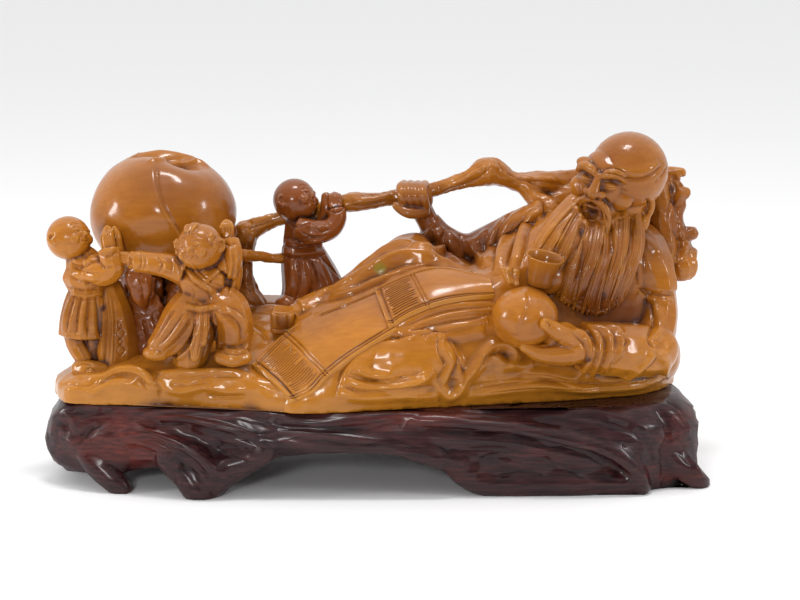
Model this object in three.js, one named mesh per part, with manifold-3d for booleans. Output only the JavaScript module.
// A boxwood carving of a reclining sage, three boys and a giant peach, on a dark rosewood root stand.
// Millimetres, +Z up, +X to the viewer's right, +Y away from the viewer. The origin is on the table,
// under the middle of the whole work. A sized point of a limb is [x, y, z, radius].
import * as THREE from "three";
import { mergeVertices } from "three/addons/utils/BufferGeometryUtils.js";
import Module from "manifold-3d";

const wasm = await Module();
wasm.setup();

const SEAT = 39; // height of the stand's top, which carries the carving
const SEAT_GAP = 0.3; // air between the two pieces
const PEACH = { middle: [-99, 10, 116.5], half: [33.5, 30, 30], crease: 2.2, hollow: 8 };
const HEAD = { middle: [113.5, -4, 139], radius: 18, forward: [-0.6, -0.78, -0.08] };
const SMALL_PEACH = { middle: [65, -42, 79.5], radius: 14.5 };
const CUP = { rim: [74, -38, 106], radius: 8.7, base: [71.5, -36, 93], baseRadius: 5.5 };
const CUP_WALL = 1.4;
const CUP_DEPTH = 8;

// Broken ends of twigs on the gnarled root at the staff's right end.
const STUBS = [
  [[132, 20, 134, 3.5], [140, 18, 135, 2.6]],
  [[137, 17, 124, 3.5], [142, 17, 125.5, 2.6]],
  [[138, 16, 104, 5], [145, 15, 107, 3.6]],
  [[139, 15, 96, 5], [145, 14, 97, 3.6]],
];

const vector = (p) => new THREE.Vector3(p[0], p[1], p[2]);

// A closed geometry as a solid that can be joined and cut.
function solid(geometry) {
  const bare = geometry.clone();
  bare.deleteAttribute("normal");
  bare.deleteAttribute("uv");
  const merged = mergeVertices(bare, 1e-4);
  return new wasm.Manifold(
    new wasm.Mesh({
      numProp: 3,
      vertProperties: new Float32Array(merged.attributes.position.array),
      triVerts: new Uint32Array(merged.index.array),
    }),
  );
}

// Rings of points, each closed on itself, skinned into one solid with both ends closed by a fan.
function skin(rings) {
  const sides = rings[0].length;
  const points = rings.flat();
  const faces = [];
  for (let i = 0; i + 1 < rings.length; i++)
    for (let j = 0; j < sides; j++) {
      const a = i * sides + j;
      const b = i * sides + ((j + 1) % sides);
      faces.push(a, b, a + sides, b, b + sides, a + sides);
    }
  const middle = (ring) => ring.reduce((sum, p) => sum.add(p), new THREE.Vector3()).divideScalar(sides);
  const last = (rings.length - 1) * sides;
  points.push(middle(rings[0]), middle(rings[rings.length - 1]));
  for (let j = 0; j < sides; j++) {
    const k = (j + 1) % sides;
    faces.push(k, j, points.length - 2, last + j, last + k, points.length - 1);
  }
  const geometry = new THREE.BufferGeometry().setFromPoints(points).setIndex(faces);
  const made = solid(geometry);
  if (made.volume() > 0) return made;
  for (let i = 0; i < faces.length; i += 3) [faces[i], faces[i + 1]] = [faces[i + 1], faces[i]];
  return solid(geometry.setIndex(faces));
}

// An egg-shaped mass: its middle, its half-sizes along x, y and z, and its turn in degrees.
function ball(middle, half, turn = [0, 0, 0], round = 8) {
  const geometry = new THREE.SphereGeometry(1, round, Math.round(round * 0.66));
  geometry.rotateX(Math.PI / 2);
  geometry.scale(...half);
  const [x, y, z] = turn.map(THREE.MathUtils.degToRad);
  geometry.applyMatrix4(new THREE.Matrix4().makeRotationFromEuler(new THREE.Euler(x, y, z, "XYZ")));
  geometry.translate(...middle);
  return solid(geometry);
}

// A round limb or twig through sized points. thin scales it front to back. A flat end is cut square.
function limb(sized, { sides = 5, perSpan = 1, thin = 1, flatStart = false, flatEnd = false } = {}) {
  const curve = new THREE.CatmullRomCurve3(sized.map(vector), false, "centripetal");
  const spans = sized.length - 1;
  const steps = spans * perSpan;
  const frames = curve.computeFrenetFrames(steps);
  const radius = (i) => {
    const k = Math.min(Math.floor(i / perSpan), spans - 1);
    return THREE.MathUtils.lerp(sized[k][3], sized[k + 1][3], i / perSpan - k);
  };
  const ring = (i, share, along) => {
    const r = radius(i) * share;
    const at = curve.getPoint(i / steps).addScaledVector(frames.tangents[i], along);
    return Array.from({ length: sides }, (_, j) => {
      const turn = (j / sides) * 2 * Math.PI;
      const out = frames.normals[i].clone().multiplyScalar(Math.cos(turn) * r);
      out.addScaledVector(frames.binormals[i], Math.sin(turn) * r);
      out.y *= thin;
      return out.add(at);
    });
  };
  const rings = Array.from({ length: steps + 1 }, (_, i) => ring(i, 1, 0));
  if (!flatStart) rings.unshift(ring(0, 0.7, -radius(0) * 0.7));
  if (!flatEnd) rings.push(ring(steps, 0.7, radius(steps) * 0.7));
  return skin(rings);
}

// A three-sided ridge, half sunk in what carries it: a fold of cloth or a lock of hair.
const ridge = (sized) => limb(sized, { sides: 3, flatStart: true, flatEnd: true });

// A mass skinned through cross-sections. A station is [x, [[y, z], ...]], and all have as many points.
function loft(stations, perSpan = 1) {
  const lines = stations[0][1].map(
    (_, j) =>
      new THREE.CatmullRomCurve3(
        stations.map(([x, outline]) => new THREE.Vector3(x, ...outline[j])),
        false,
        "centripetal",
      ),
  );
  const steps = (stations.length - 1) * perSpan;
  return skin(
    Array.from({ length: steps + 1 }, (_, i) => lines.map((line) => line.getPoint(i / steps))),
  );
}

// One solid out of many that overlap.
const join = (...solids) => wasm.Manifold.union(solids.flat(2));

// A box between two heights, wider than the work, to cut things off level.
function slab(from, to) {
  const geometry = new THREE.BoxGeometry(400, 240, to - from);
  geometry.translate(0, 0, (from + to) / 2);
  return solid(geometry);
}

// A head's own directions: gives the point that lies so far to its left, up and out along its gaze.
function gaze(middle, forward) {
  const out = vector(forward).normalize();
  const left = new THREE.Vector3(0, 0, 1).cross(out).normalize();
  const up = out.clone().cross(left);
  const from = vector(middle);
  return (side, high, ahead) => {
    const point = from.clone().addScaledVector(left, side).addScaledVector(up, high);
    return point.addScaledVector(out, ahead).toArray();
  };
}

// A child's round head with a nose, cheeks, a chin, ears and a forelock, on plain proportions.
function childHead(middle, radius, forward) {
  const at = gaze(middle, forward);
  const r = radius;
  const pair = (make) => [make(-1), make(1)];
  return join(
    ball(middle, [r, r * 0.95, r * 0.97], [0, 0, 0], 8),
    ridge([[...at(0, r * 0.05, r * 0.86), r * 0.1], [...at(0, -r * 0.16, r * 1.02), r * 0.17]]),
    pair((way) => ball(at(way * r * 0.9, -r * 0.06, 0), [r * 0.22, r * 0.22, r * 0.3], [0, 0, 0], 5)),
  );
}

// A peach: a stalk hollow on top, and a crease down the front where one lobe laps the other.
function peach({ middle, half, crease, hollow }, round, lean) {
  const geometry = new THREE.SphereGeometry(1, round, Math.round(round * 0.66));
  geometry.rotateX(Math.PI / 2);
  const position = geometry.attributes.position;
  const size = vector(half);
  const hollowAt = new THREE.Vector3(0.33, -0.15, 0.93).normalize();
  const p = new THREE.Vector3();
  for (let i = 0; i < position.count; i++) {
    p.fromBufferAttribute(position, i);
    const round = Math.atan2(p.x, -p.y);
    const beside = round - THREE.MathUtils.degToRad(-12 + lean * (0.8 - p.z));
    const dip = beside > 0 ? Math.exp(-beside / 0.3) : Math.exp(beside / 0.1);
    const fade = Math.cos(round) > 0 ? 1 - p.z ** 6 : 0;
    const nearHollow = Math.exp(-((p.angleTo(hollowAt) / 0.33) ** 2));
    const sink = crease * dip * fade + hollow * nearHollow;
    const out = p.clone().multiply(size).addScaledVector(p, -sink);
    position.setXYZ(i, out.x + middle[0], out.y + middle[1], out.z + middle[2]);
  }
  return solid(geometry);
}

// The rock under the peach, with a leaf-shaped plate standing in front of it.
function rock() {
  return join(
    limb([[-97, 10, 92, 17], [-99, 10, 72, 16], [-98, 8, 52, 23]], { sides: 7 }),
    limb([[-106, -7, 92, 6], [-106, -10, 80, 7], [-100, -11, 64, 9]]),
    limb([[-72, 4, 106, 8], [-74, 2, 88, 9], [-76, 0, 66, 12]]),
  );
}

function boyAtTheLeft() {
  return join(
    childHead([-139.5, -18, 111], 9.8, [0.75, -0.4, 0.5]),
    limb(
      [
        [-136, -18, 102, 4.5], [-133, -17, 96, 9], [-134, -16, 90, 9], [-133, -16, 85, 8],
      ],
      { thin: 0.85 },
    ),
    limb(
      [
        [-130, -22, 96, 6], [-123, -27, 97, 5], [-119.5, -27, 103, 4.2], [-120.5, -25, 109, 3.2],
        [-121, -24, 115, 2.6],
      ],
    ),
    limb(
      [
        [-132, -16, 86, 8], [-133, -16, 77, 9.5], [-133.5, -16, 67, 11.5],
      ],
      { sides: 7, flatEnd: true },
    ),
    limb([[-125, -12, 87, 7.5], [-123, -12, 72, 9.5], [-121, -12, 55, 11.5]], { sides: 6 }),
    limb([[-134, -20, 70, 6], [-134.5, -20, 58, 5]]),
    ball([-131, -23, 52.5], [9, 7, 4.5]),
    [-138.5, -132.5, -126.5].map((x) => ridge([[x, -21.5, 84, 1.2], [x - 0.5, -25.5, 69.5, 2]])),
  );
}

function boyInFront() {
  return join(
    childHead([-76.5, -37, 110.5], 9.8, [-0.1, -0.95, 0.15]),
    limb(
      [
        [-77, -36, 103, 5], [-77.5, -34, 96, 10.5], [-77, -33, 87, 9], [-77, -33, 82, 9],
      ],
      { sides: 6, thin: 0.85 },
    ),
    limb(
      [
        [-84, -35, 99.5, 6], [-96, -34, 100, 4.6], [-105.5, -32, 102, 3.6], [-113.5, -28, 104.5, 3.4],
        [-120, -26, 106, 2.8],
      ],
    ),
    limb([[-67.5, -22, 120, 3], [-65.5, -26, 112, 3.4], [-65.5, -28, 102, 5], [-66.5, -30, 91.5, 4.6]]),
    limb(
      [
        [-79, -33, 86, 9], [-85.5, -36, 77, 9.5], [-91.5, -37, 70, 7.5], [-97, -36, 64.5, 5],
      ],
      { sides: 6 },
    ),
    limb(
      [
        [-74, -33, 85, 9], [-66, -36, 79.5, 8.5], [-64.5, -37, 70.5, 8], [-65.5, -36, 62, 7.5],
      ],
      { sides: 6 },
    ),
    ridge([[-86, -41, 101, 1.4], [-77, -42.5, 95.5, 1.8], [-69, -40.5, 89, 1.4]]),
    ridge([[-83, -42.5, 84, 1.2], [-88, -44.5, 77, 1.8], [-94, -42.5, 69, 1.4]]),
    limb([[-78.5, -40, 86, 3.2], [-81, -42.5, 74, 4], [-82, -42, 62, 4.2]], { sides: 6 }),
    ball([-97, -38, 61], [6, 6, 4], [0, 0, 0], 6),
    ball([-65, -42, 60], [7.5, 7, 4], [0, 0, 0], 6),
  );
}

function boyBehind() {
  return join(
    childHead([-41, 16, 124], 9.6, [0.75, -0.5, 0.4]),
    limb([[-39, 16, 116, 5], [-37.5, 17, 109, 9], [-36.5, 17, 99, 9.5]], { sides: 6, thin: 0.85 }),
    limb(
      [
        [-36, 6, 113, 4.5], [-26, 5, 111.5, 5.4], [-19.5, 9, 113.5, 5], [-20.5, 12, 118, 5],
        [-23, 16, 124, 4],
      ],
    ),
    limb(
      [
        [-36, 17, 98.5, 9], [-33.5, 17, 90, 9.5], [-29, 18, 82, 12], [-27, 18, 72, 14],
      ],
      { sides: 7 },
    ),
    limb([[-37.5, 14, 86, 5], [-38.5, 13, 72, 5]]),
    [-36, -29].map((x) => ridge([[x, 10, 96, 1.6], [x + 2, 8.5, 82, 2.6]])),
  );
}

function staff() {
  return join(
    limb([
      [-63, 20, 105, 5.6], [-57, 21, 108.5, 4.5], [-50, 22, 111.5, 3.7], [-38.5, 22, 115, 3.5],
      [-22.5, 20, 118.5, 3.5], [-12.5, 18, 121, 4.8], [-5, 18, 121.5, 4], [19.5, 18, 125.5, 3.7],
      [31, 18, 128.5, 3.6], [42.5, 18, 132.5, 4.4], [51, 18, 135.5, 7], [56, 18, 134, 5.6],
      [62, 19, 131, 4.2], [74, 20, 129, 6.4], [94, 26, 129.5, 6], [112, 26, 130, 7], [128, 22, 132, 6.5],
    ]),
    limb([[-62, 20, 106, 6], [-63.5, 18, 88, 4.8], [-61, 17, 68, 11]]),
    limb([[-67, -6, 101, 3.6], [-51, 8, 97, 2.4], [-42, 14, 95, 2.8]]),
    limb([[66, 19, 130, 4], [72, 16, 124, 4.4], [78, 12, 118, 7]]),
    limb([[76, 18, 120, 6], [88, 20, 122.5, 7], [106, 20, 124, 8]]),
    limb([[129, 15, 127, 6], [131, 13, 112, 7], [132, 12, 98, 8]]),
    limb(
      [
        [124, 22, 133, 6], [134.5, 20, 131, 4.5], [139, 18, 122, 4], [137, 16, 114, 4.5],
        [141, 14, 92, 8],
      ],
    ),
    ...STUBS.map((stub) => limb(stub)),
  );
}

// Rims of rock along the front and the back of the ground.
const LEDGES = [
  [
    [-136.5, -35, 45.5, 2], [-124, -36, 50, 2.6], [-113, -37, 54, 3], [-103, -40, 52, 2.6],
    [-96.5, -40.5, 46, 2],
  ],
  [[-96, -38.5, 53, 2.4], [-79, -41, 54, 2.6], [-58, -43.5, 53.5, 2.2]],
  [
    [-124, 20, 51, 2.4], [-104, 36, 53, 3.4], [-80, 43, 50, 3], [-56, 45.5, 55, 3.2],
    [-34, 42, 60, 2.4],
  ],
];

// The rocky ground that everything stands on, rising to the back.
function ground() {
  return loft([
    [-147, [[-16, 30], [-19, 44], [-15, 46], [-10, 46], [-6, 44], [-7, 38], [-8, 30]]],
    [-140, [[-33, 30], [-36, 45], [-28, 49], [-12, 50], [-2, 48], [1, 40], [0, 30]]],
    [-128, [[-37, 30], [-40, 48], [-30, 51], [-6, 53], [14, 52], [18, 42], [18, 30]]],
    [-112, [[-39, 30], [-41, 51], [-32, 55], [0, 58], [30, 60], [34, 46], [34, 30]]],
    [-96, [[-40, 30], [-42, 52], [-32, 56], [0, 61], [36, 64], [42, 49], [42, 30]]],
    [-80, [[-42, 30], [-44, 53], [-33, 57], [0, 66], [38, 70], [45, 52], [46, 30]]],
    [-60, [[-46, 30], [-47, 53], [-36, 57], [-5, 69], [36, 73], [47, 54], [48, 30]]],
    [-40, [[-52, 30], [-52, 48], [-40, 55], [-5, 70], [36, 73], [47, 54], [48, 30]]],
    [-12, [[-50, 30], [-50, 44], [-42, 52], [-5, 68], [34, 70], [43, 53], [44, 30]]],
  ]);
}

// The sage's robe and body as one mass, from the shoe at the left to the cushion at the right.
function robe() {
  return loft([
    [-42, [
      [-50, 30], [-52, 42], [-42, 54], [-30, 63], [-14, 67], [-4, 68], [8, 66], [20, 56], [24, 30],
    ]],
    [-36, [
      [-54, 30], [-55, 44], [-44, 58], [-30, 72], [-14, 76], [-2, 77], [12, 70], [30, 60], [36, 30],
    ]],
    [-18, [
      [-52, 30], [-54, 48], [-50, 60], [-38, 72], [-22, 83], [-4, 88.5], [16, 80], [42, 60], [46, 30],
    ]],
    [-4, [
      [-49, 30], [-52, 52], [-50, 66], [-40, 79], [-20, 88.5], [2, 98], [20, 90], [43, 63], [48, 30],
    ]],
    [10, [
      [-46, 30], [-50, 54], [-47, 69], [-42, 80], [-18, 94], [7, 107.5], [22, 98], [44, 67], [48, 30],
    ]],
    [20, [
      [-44, 30], [-48, 54], [-45, 69], [-41, 82], [-20, 95.5], [8, 108], [24, 98], [44, 67], [48, 30],
    ]],
    [29, [
      [-42, 30], [-46, 54], [-43, 70], [-40, 84], [-22, 95], [8, 99], [26, 92], [45, 64], [48, 30],
    ]],
    [42, [
      [-39, 30], [-44, 54], [-41, 70], [-38, 84], [-26, 92], [6, 95], [28, 92], [45, 64], [48, 30],
    ]],
    [60, [
      [-36, 30], [-40, 54], [-38, 68], [-34, 84], [-27, 97], [-4, 108], [26, 104], [45, 71], [48, 30],
    ]],
    [80, [
      [-32, 30], [-36, 54], [-32, 68], [-28, 84], [-24, 104], [-4, 118], [24, 116], [43, 77], [46, 30],
    ]],
    [100, [
      [-26, 30], [-31, 54], [-26, 66], [-22, 84], [-20, 104], [-2, 120], [26, 118], [41, 78], [44, 30],
    ]],
    [118, [
      [-20, 30], [-24, 52], [-20, 64], [-16, 84], [-14, 102], [2, 116], [24, 112], [36, 75], [38, 30],
    ]],
    [130, [
      [-9, 30], [-14, 50], [-12, 64], [-8, 80], [-6, 96], [4, 106], [20, 100], [27, 68], [28, 30],
    ]],
    [137, [[4, 30], [-2, 50], [-2, 62], [0, 74], [2, 84], [7, 92], [14, 88], [17, 62], [16, 30]]],
  ]);
}

function sageHead() {
  const r = HEAD.radius;
  const at = gaze(HEAD.middle, HEAD.forward);
  const pair = (make) => [make(-1), make(1)];
  return join(
    ball(HEAD.middle, [r, r, r], [0, 0, 0], 12),
    ball(at(0, -r * 0.65, r * 0.3), [r * 0.74, r * 0.7, r * 0.8], [0, 0, 0], 6),
    ball(at(0, -r * 1.1, -r * 0.45), [r * 0.8, r * 0.7, r * 0.9], [0, 0, 0], 6),
    limb([[...at(0, -r * 0.3, r * 0.88), 1.8], [...at(0, -r * 0.6, r * 1.1), 3]], { sides: 6 }),
    pair((way) => [
      limb(
        [
          [...at(way * 1.5, -r * 0.22, r * 0.92), 1.6], [...at(way * 7, -r * 0.12, r * 0.88), 2.2],
          [...at(way * 13, -r * 0.22, r * 0.66), 1.8],
        ],
      ),
      ball(at(way * 6.5, -r * 0.62, r * 0.78), [4.6, 4, 3.6], [0, 0, 0], 5),
      limb([[...at(way * 15.5, -r * 0.4, r * 0.05), 2.6], [...at(way * 15, -r * 0.8, r * 0.12), 2]]),
    ]),
  );
}

// The beard: locks combed down and to the left over one mass, each a lens-shaped ridge.
const LOCKS = [
  [[87, -16, 119, 2.6], [77, -18, 112, 3], [68, -25, 101, 1.6]],
  [[91, -22, 119, 2.8], [84, -24.5, 106, 3.2], [80, -26, 90, 1.8]],
  [[97, -28, 118, 2.8], [90, -31, 104, 3.4], [85, -28, 84, 1.8]],
  [[103, -29, 117, 2.8], [96, -32.5, 103, 3.4], [90, -28, 80, 1.8]],
  [[109, -25, 116, 2.8], [103, -30, 102, 3.4], [95.5, -27.5, 78, 1.8]],
  [[115, -18, 112, 2.8], [109.5, -24, 99, 3.4], [101, -25, 77.5, 1.8]],
  [[120, -13, 108, 2.6], [114, -18.5, 97, 3.2], [106, -21.5, 79, 1.6]],
];

function beard() {
  const mass = [[102, -19, 119, 9], [96, -20, 106, 12], [94, -20, 93, 12], [95, -20, 83, 7]];
  return [limb(mass, { sides: 7 }), LOCKS.map(ridge)];
}

// A cloth panel lying on the robe, given by its upper and lower edges. It stands thick above them.
function panel(upper, lower, thick, crown) {
  const ringAt = (i) => {
    const a = vector(upper[i]);
    const b = vector(lower[i]);
    const from = vector(upper[Math.max(i - 1, 0)]);
    const to = vector(upper[Math.min(i + 1, upper.length - 1)]);
    const out = b.clone().sub(a).cross(to.sub(from)).normalize();
    const middle = a.clone().lerp(b, 0.5);
    return [
      a.clone().addScaledVector(out, thick),
      middle.addScaledVector(out, thick + crown),
      b.clone().addScaledVector(out, thick),
      b.clone().addScaledVector(out, -5),
      a.clone().addScaledVector(out, -5),
    ];
  };
  return skin(upper.map((_, i) => ringAt(i)));
}

const LONG_PANEL = {
  upper: [
    [-56, -38.5, 56], [-49.5, -31, 61], [-39.5, -27, 69.5], [-28, -23, 76.5], [-14.5, -22, 83],
    [1, -19, 90],
  ],
  lower: [
    [-38, -54, 43], [-28.5, -53.5, 47], [-21, -51.5, 54.5], [-12, -50, 61.5], [-1, -48, 68.5],
    [9, -44.5, 74],
  ],
};
const SHORT_PANEL = {
  upper: [[-1, -20, 89], [10, -18.5, 92.5], [23.5, -20, 95.5], [37, -21, 95], [50, -25, 92.5]],
  lower: [[5.5, -44.5, 74], [16.5, -42, 80], [28.5, -40, 84], [40, -37, 85.5], [52, -34, 86]],
};

// Folds of the sage's clothes, as ridges half sunk in them.
const FOLDS = [
  [
    [-35, -4, 79.5, 2], [-15, -15, 86, 2.2], [2, -13, 92.5, 2.4], [23, -10, 100.5, 2.4],
    [37, -6, 95.5, 1.8],
  ],
  [[-10, -9, 90, 1.4], [5, -5, 98.5, 2.2], [21, -1, 104, 2.4]],
  [[22, -42, 78, 1.4], [35, -40, 81, 1.8], [51, -37, 82, 1.8]],
  [[-14, -50, 54.5, 1.4], [-5, -52.5, 49.5, 1.8], [17, -49, 44.5, 1.6]],
  [[26, -43, 74, 1.8], [31, -44.5, 64, 2.4], [30, -45.5, 54, 2.4], [36, -45, 46, 2]],
  [[44, -42.5, 66, 1.6], [42, -44, 57, 2.4], [48, -43.5, 50, 2.4], [58, -41.5, 47.5, 1.8]],
  [[52, -40.5, 63, 1.8], [60, -39.5, 56, 2.4], [74, -36.5, 54, 2]],
  [[45.5, -41, 44, 2], [68, -37, 45.5, 2.2], [95.5, -29, 44.5, 2], [119, -21, 46, 1.8]],
  [[90, -36, 74, 1.6], [93, -47, 66, 1.8], [92, -43, 54, 1.6]],
  [[96, -32, 74.5, 1.6], [99, -44.5, 68, 1.8], [98, -42, 54, 1.6]],
  [[102, -29, 75, 1.6], [105, -42, 68, 1.8], [103, -40, 53, 1.6]],
  [[58.5, 4, 114.5, 2], [60, -6, 106, 2.2], [56, -18, 98, 1.8]],
  [[118, 25, 108, 1.5], [117, 33, 88, 3], [112, 38, 62, 3], [104, 42, 46, 2.4]],
  [[104, 27, 112, 1.5], [96, 36, 92, 3.4], [84, 43.5, 66, 3.6], [70, 47, 46, 2.6]],
  [[66, 30, 100, 1.5], [54, 39, 84, 3.4], [40, 45.5, 62, 3.8], [24, 47.5, 46, 2.6]],
  [[20, 32, 88, 1.5], [8, 41, 72, 3], [-4, 45.5, 57, 3], [-14, 47, 45.5, 2.2]],
];

function sageArms() {
  return join(
    limb(
      [
        [78, 8, 113, 12], [62, 12, 106, 11], [51, 16, 100.5, 10], [40.5, 17, 99, 7.6],
        [30, 17, 104, 6.2], [21, 17, 111, 6.8],
      ],
      { sides: 7 },
    ),
    limb([[22, 17, 112, 5.4], [17, 18, 118, 4.6], [15, 17, 124, 5.6]]),
    ball([15, 16, 125.5], [8.5, 6.5, 5.5], [0, 10, 0]),
    limb([[124.5, 0, 103, 11.5], [129, -6, 90, 9.6], [129.5, -10, 79, 9]], { sides: 7, flatEnd: true }),
    limb([[129.5, -9, 82, 7.5], [127.5, -14, 66, 8], [122, -17, 58, 10]], { sides: 7 }),
    limb(
      [
        [119, -20, 60, 11], [108, -28, 61.5, 12.8], [96, -36, 63.5, 11.8],
      ],
      { sides: 7, flatEnd: true },
    ),
    limb(
      [
        [96, -37, 65, 8], [84, -42, 69.5, 5.6], [76, -44, 68, 5.4], [66, -46, 66, 4.4],
      ],
      { sides: 7 },
    ),
    limb([[84, -47, 72, 3.2], [78, -52, 76, 2.8], [73.5, -52.5, 80, 2.2]], { sides: 6 }),
  );
}

// The cup leans to the viewer's right: its solid body and the hollow that is cut into it.
function cup() {
  const lean = vector(CUP.rim).sub(vector(CUP.base));
  const height = lean.length();
  const floor = height - CUP_DEPTH;
  const mouth = CUP.radius - CUP_WALL;
  const turn = new THREE.Quaternion().setFromUnitVectors(new THREE.Vector3(0, 1, 0), lean.normalize());
  const lathe = (profile) => {
    const geometry = new THREE.LatheGeometry(profile.map(([r, z]) => new THREE.Vector2(r, z)), 10);
    geometry.applyQuaternion(turn);
    geometry.translate(...CUP.base);
    return solid(geometry);
  };
  return [
    lathe([[0, 0], [CUP.baseRadius, 0], [CUP.baseRadius + 1, height / 2], [CUP.radius, height], [0, height]]),
    lathe([[0, floor], [mouth - 1.5, floor], [mouth, height + 1], [0, height + 1]]),
  ];
}

function sage() {
  const [cupBody, cupHollow] = cup();
  const half = Array(3).fill(SMALL_PEACH.radius);
  return join(
    robe(),
    sageHead(),
    beard(),
    panel(LONG_PANEL.upper, LONG_PANEL.lower, 2, 2.2),
    panel(SHORT_PANEL.upper, SHORT_PANEL.lower, 3, 2),
    FOLDS.map(ridge),
    sageArms(),
    peach({ middle: SMALL_PEACH.middle, half, crease: 1, hollow: 0 }, 11, 10),
    limb([[17, 8, 97, 10], [1, 4, 88, 9], [-15, -4, 80.5, 8], [-30, -14, 76.5, 6]], { sides: 7 }),
    limb(
      [
        [-34, -15, 76.5, 5.4], [-40, -19, 74.5, 5], [-45, -21, 73, 4.6],
      ],
      { sides: 7, flatEnd: true },
    ),
    ball([7, -32, 57], [28, 22, 19], [0, -10, 0], 12),
    ball([126, 2, 52], [14, 17, 15]),
    ball([76, -27, 95], [9, 8, 8], [0, 0, 0], 6),
    cupBody,
  ).subtract(cupHollow);
}

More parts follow.
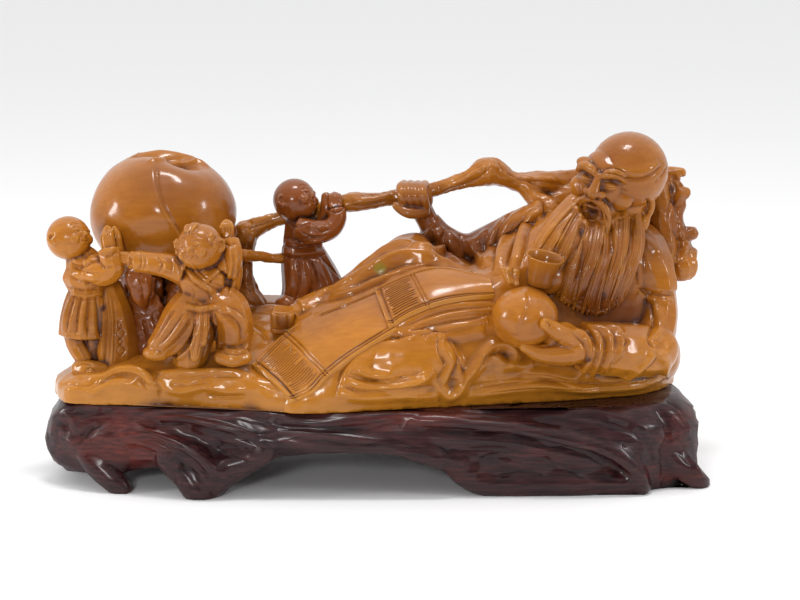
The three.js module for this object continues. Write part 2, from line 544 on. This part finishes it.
// The stand: a hollow-backed slab with roots crawling over its front and down to its feet.
function stand() {
  const body = loft([
    [-149, [[-22, 10], [-28, 18], [-26, 27], [-20, 31], [0, 31], [8, 27], [12, 18], [8, 10]]],
    [-140, [[-32, 6], [-37, 18], [-35, 32], [-30, 39], [14, 39], [22, 32], [26, 18], [20, 6]]],
    [-120, [[-40, 8], [-45, 18], [-43, 32], [-38, 41], [38, 41], [44, 32], [46, 18], [42, 8]]],
    [-95, [[-46, 12], [-50, 20], [-48, 33], [-42, 41], [44, 41], [49, 33], [51, 20], [47, 12]]],
    [-60, [[-48, 15], [-53, 23], [-52, 34], [-46, 41], [46, 41], [52, 34], [54, 23], [50, 15]]],
    [-20, [[-48, 19], [-55, 26], [-54, 34], [-52, 41], [46, 41], [52, 34], [55, 26], [50, 19]]],
    [20, [[-48, 16], [-54, 24], [-53, 34], [-50, 41], [46, 41], [52, 34], [55, 24], [50, 16]]],
    [50, [[-46, -4], [-52, 18], [-51, 33], [-44, 41], [44, 41], [52, 34], [54, 24], [50, 14]]],
    [100, [[-44, -4], [-50, 18], [-49, 32], [-40, 41], [42, 41], [50, 33], [52, 20], [48, 10]]],
    [124, [[-40, -4], [-44, 18], [-43, 32], [-34, 40], [24, 40], [32, 32], [36, 18], [32, -4]]],
    [136, [[-34, -4], [-37, 18], [-35, 30], [-24, 38], [4, 38], [10, 32], [14, 18], [12, -4]]],
    [145, [[-29, -4], [-30, 14], [-28, 26], [-20, 31], [-12, 31], [-8, 26], [-6, 14], [-6, -4]]],
  ]);
  const roots = join(
    limb(
      [
        [-123, -42, 24, 3.2], [-110, -46, 28, 3.6], [-100, -48, 27.5, 4.2], [-91, -50, 24.5, 4.8],
        [-82, -52, 20.5, 5.2], [-75, -53, 14, 5.2], [-72, -53, 6, 4.6],
      ],
    ),
    limb(
      [
        [-106, -44, 30, 2.6], [-94, -47, 33, 3.2], [-83, -49, 33.5, 3.6], [-71.5, -51, 32, 3.8],
        [-60.5, -53, 28.5, 3.8], [-51, -54, 24.5, 3.2],
      ],
      { sides: 4 },
    ),
    limb(
      [
        [-125, -36, 34, 3.5], [-137, -30, 34.5, 3.8], [-145.2, -26, 28, 4], [-147.2, -26, 19.5, 4],
        [-144, -30, 13, 4], [-135, -34, 12, 4.5],
      ],
      { sides: 4 },
    ),
    limb([[-130, -38, 15.5, 5.5], [-122.5, -41, 8, 6], [-115, -43, 2, 5.5]]),
    limb([[-94, -46, 17.5, 6.5], [-85, -49, 9, 6.5], [-79, -51, 1, 7]]),
    limb([[-73, -50, 5, 6], [-67, -50, 13, 8], [-50, -51, 21, 6]]),
    limb(
      [
        [-51, -51, 32.5, 2.6], [-29.5, -53, 33.5, 3.2], [-12, -53, 34, 3.2], [6.5, -51, 35.5, 2.6],
      ],
      { sides: 4 },
    ),
    limb(
      [
        [-49, -53, 27, 3.5], [-34, -54, 26.5, 4.2], [-16.5, -54, 25.5, 4.2], [10, -53, 23.5, 4.6],
        [27.5, -52, 18, 5],
      ],
      { sides: 4 },
    ),
    limb(
      [
        [9, -51, 34, 2.8], [23, -52, 35.5, 3.2], [45.5, -51, 34.5, 3.4], [63, -51, 32, 3.6],
        [80.5, -51, 28.5, 3.8], [95, -50, 24.5, 3.8], [106.5, -49, 20.5, 3.8], [114, -47, 13, 4.2],
        [118, -46, 4, 4.6],
      ],
      { sides: 4 },
    ),
    limb(
      [
        [33, -49, 16.5, 6], [42, -48, 8, 6.5], [63.5, -46, 5, 7], [90.5, -45, 5, 7], [112, -43, 5, 7],
      ],
    ),
    limb(
      [
        [124.5, -24, 35.5, 3.4], [136, -20, 32.5, 3.4], [143, -19, 25, 3.6], [141, -23, 17, 3.6],
      ],
      { sides: 4 },
    ),
    limb([[126, -35, 18, 5], [136, -36, 10, 5.5], [145, -35, 2, 5]]),
    limb([[-108, 44, 22, 7], [-104, 46, 10, 7], [-100, 47, 0, 7]]),
    limb([[100, 44, 22, 7], [108, 46, 10, 7], [112, 46, 0, 7]]),
    limb([[-8, 50, 24, 7], [0, 52, 12, 7], [4, 52, 0, 7]]),
  );
  const underside = join(
    ball([-45, 0, 0], [88, 38, 17]),
    ball([50, 0, 0], [80, 36, 15]),
    ball([-100, -46, 0], [9, 22, 9], [0, 0, 0], 6),
    ball([-58, 48, 0], [42, 30, 14], [0, 0, 0], 6),
    ball([64, 48, 0], [46, 30, 13], [0, 0, 0], 6),
  );
  return join(body, roots).subtract(underside).subtract(slab(SEAT, SEAT + 60)).subtract(slab(-60, 0));
}

const boxwood = new THREE.MeshStandardMaterial({ color: 0xb4641e, roughness: 0.3, metalness: 0 });
const rosewood = new THREE.MeshStandardMaterial({ color: 0x2a1413, roughness: 0.4, metalness: 0 });

// A solid as a named mesh.
function mesh(name, made, material) {
  const { numProp, numVert, vertProperties, triVerts } = made.getMesh();
  const points = new Float32Array(numVert * 3);
  for (let i = 0; i < numVert; i++) {
    points.set(vertProperties.subarray(i * numProp, i * numProp + 3), i * 3);
  }
  const geometry = new THREE.BufferGeometry();
  geometry.setAttribute("position", new THREE.BufferAttribute(points, 3));
  geometry.setIndex(new THREE.BufferAttribute(triVerts, 1));
  geometry.computeVertexNormals();
  const result = new THREE.Mesh(geometry, material);
  result.name = name;
  return result;
}

const carving = join(
  ground(),
  peach(PEACH, 16, 22),
  rock(),
  boyAtTheLeft(),
  boyInFront(),
  boyBehind(),
  staff(),
  sage(),
  LEDGES.map((ledge) => limb(ledge)),
).subtract(slab(-60, SEAT + SEAT_GAP));

const work = new THREE.Group();
work.add(mesh("sage_carving", carving, boxwood), mesh("stand", stand(), rosewood));

export default work;
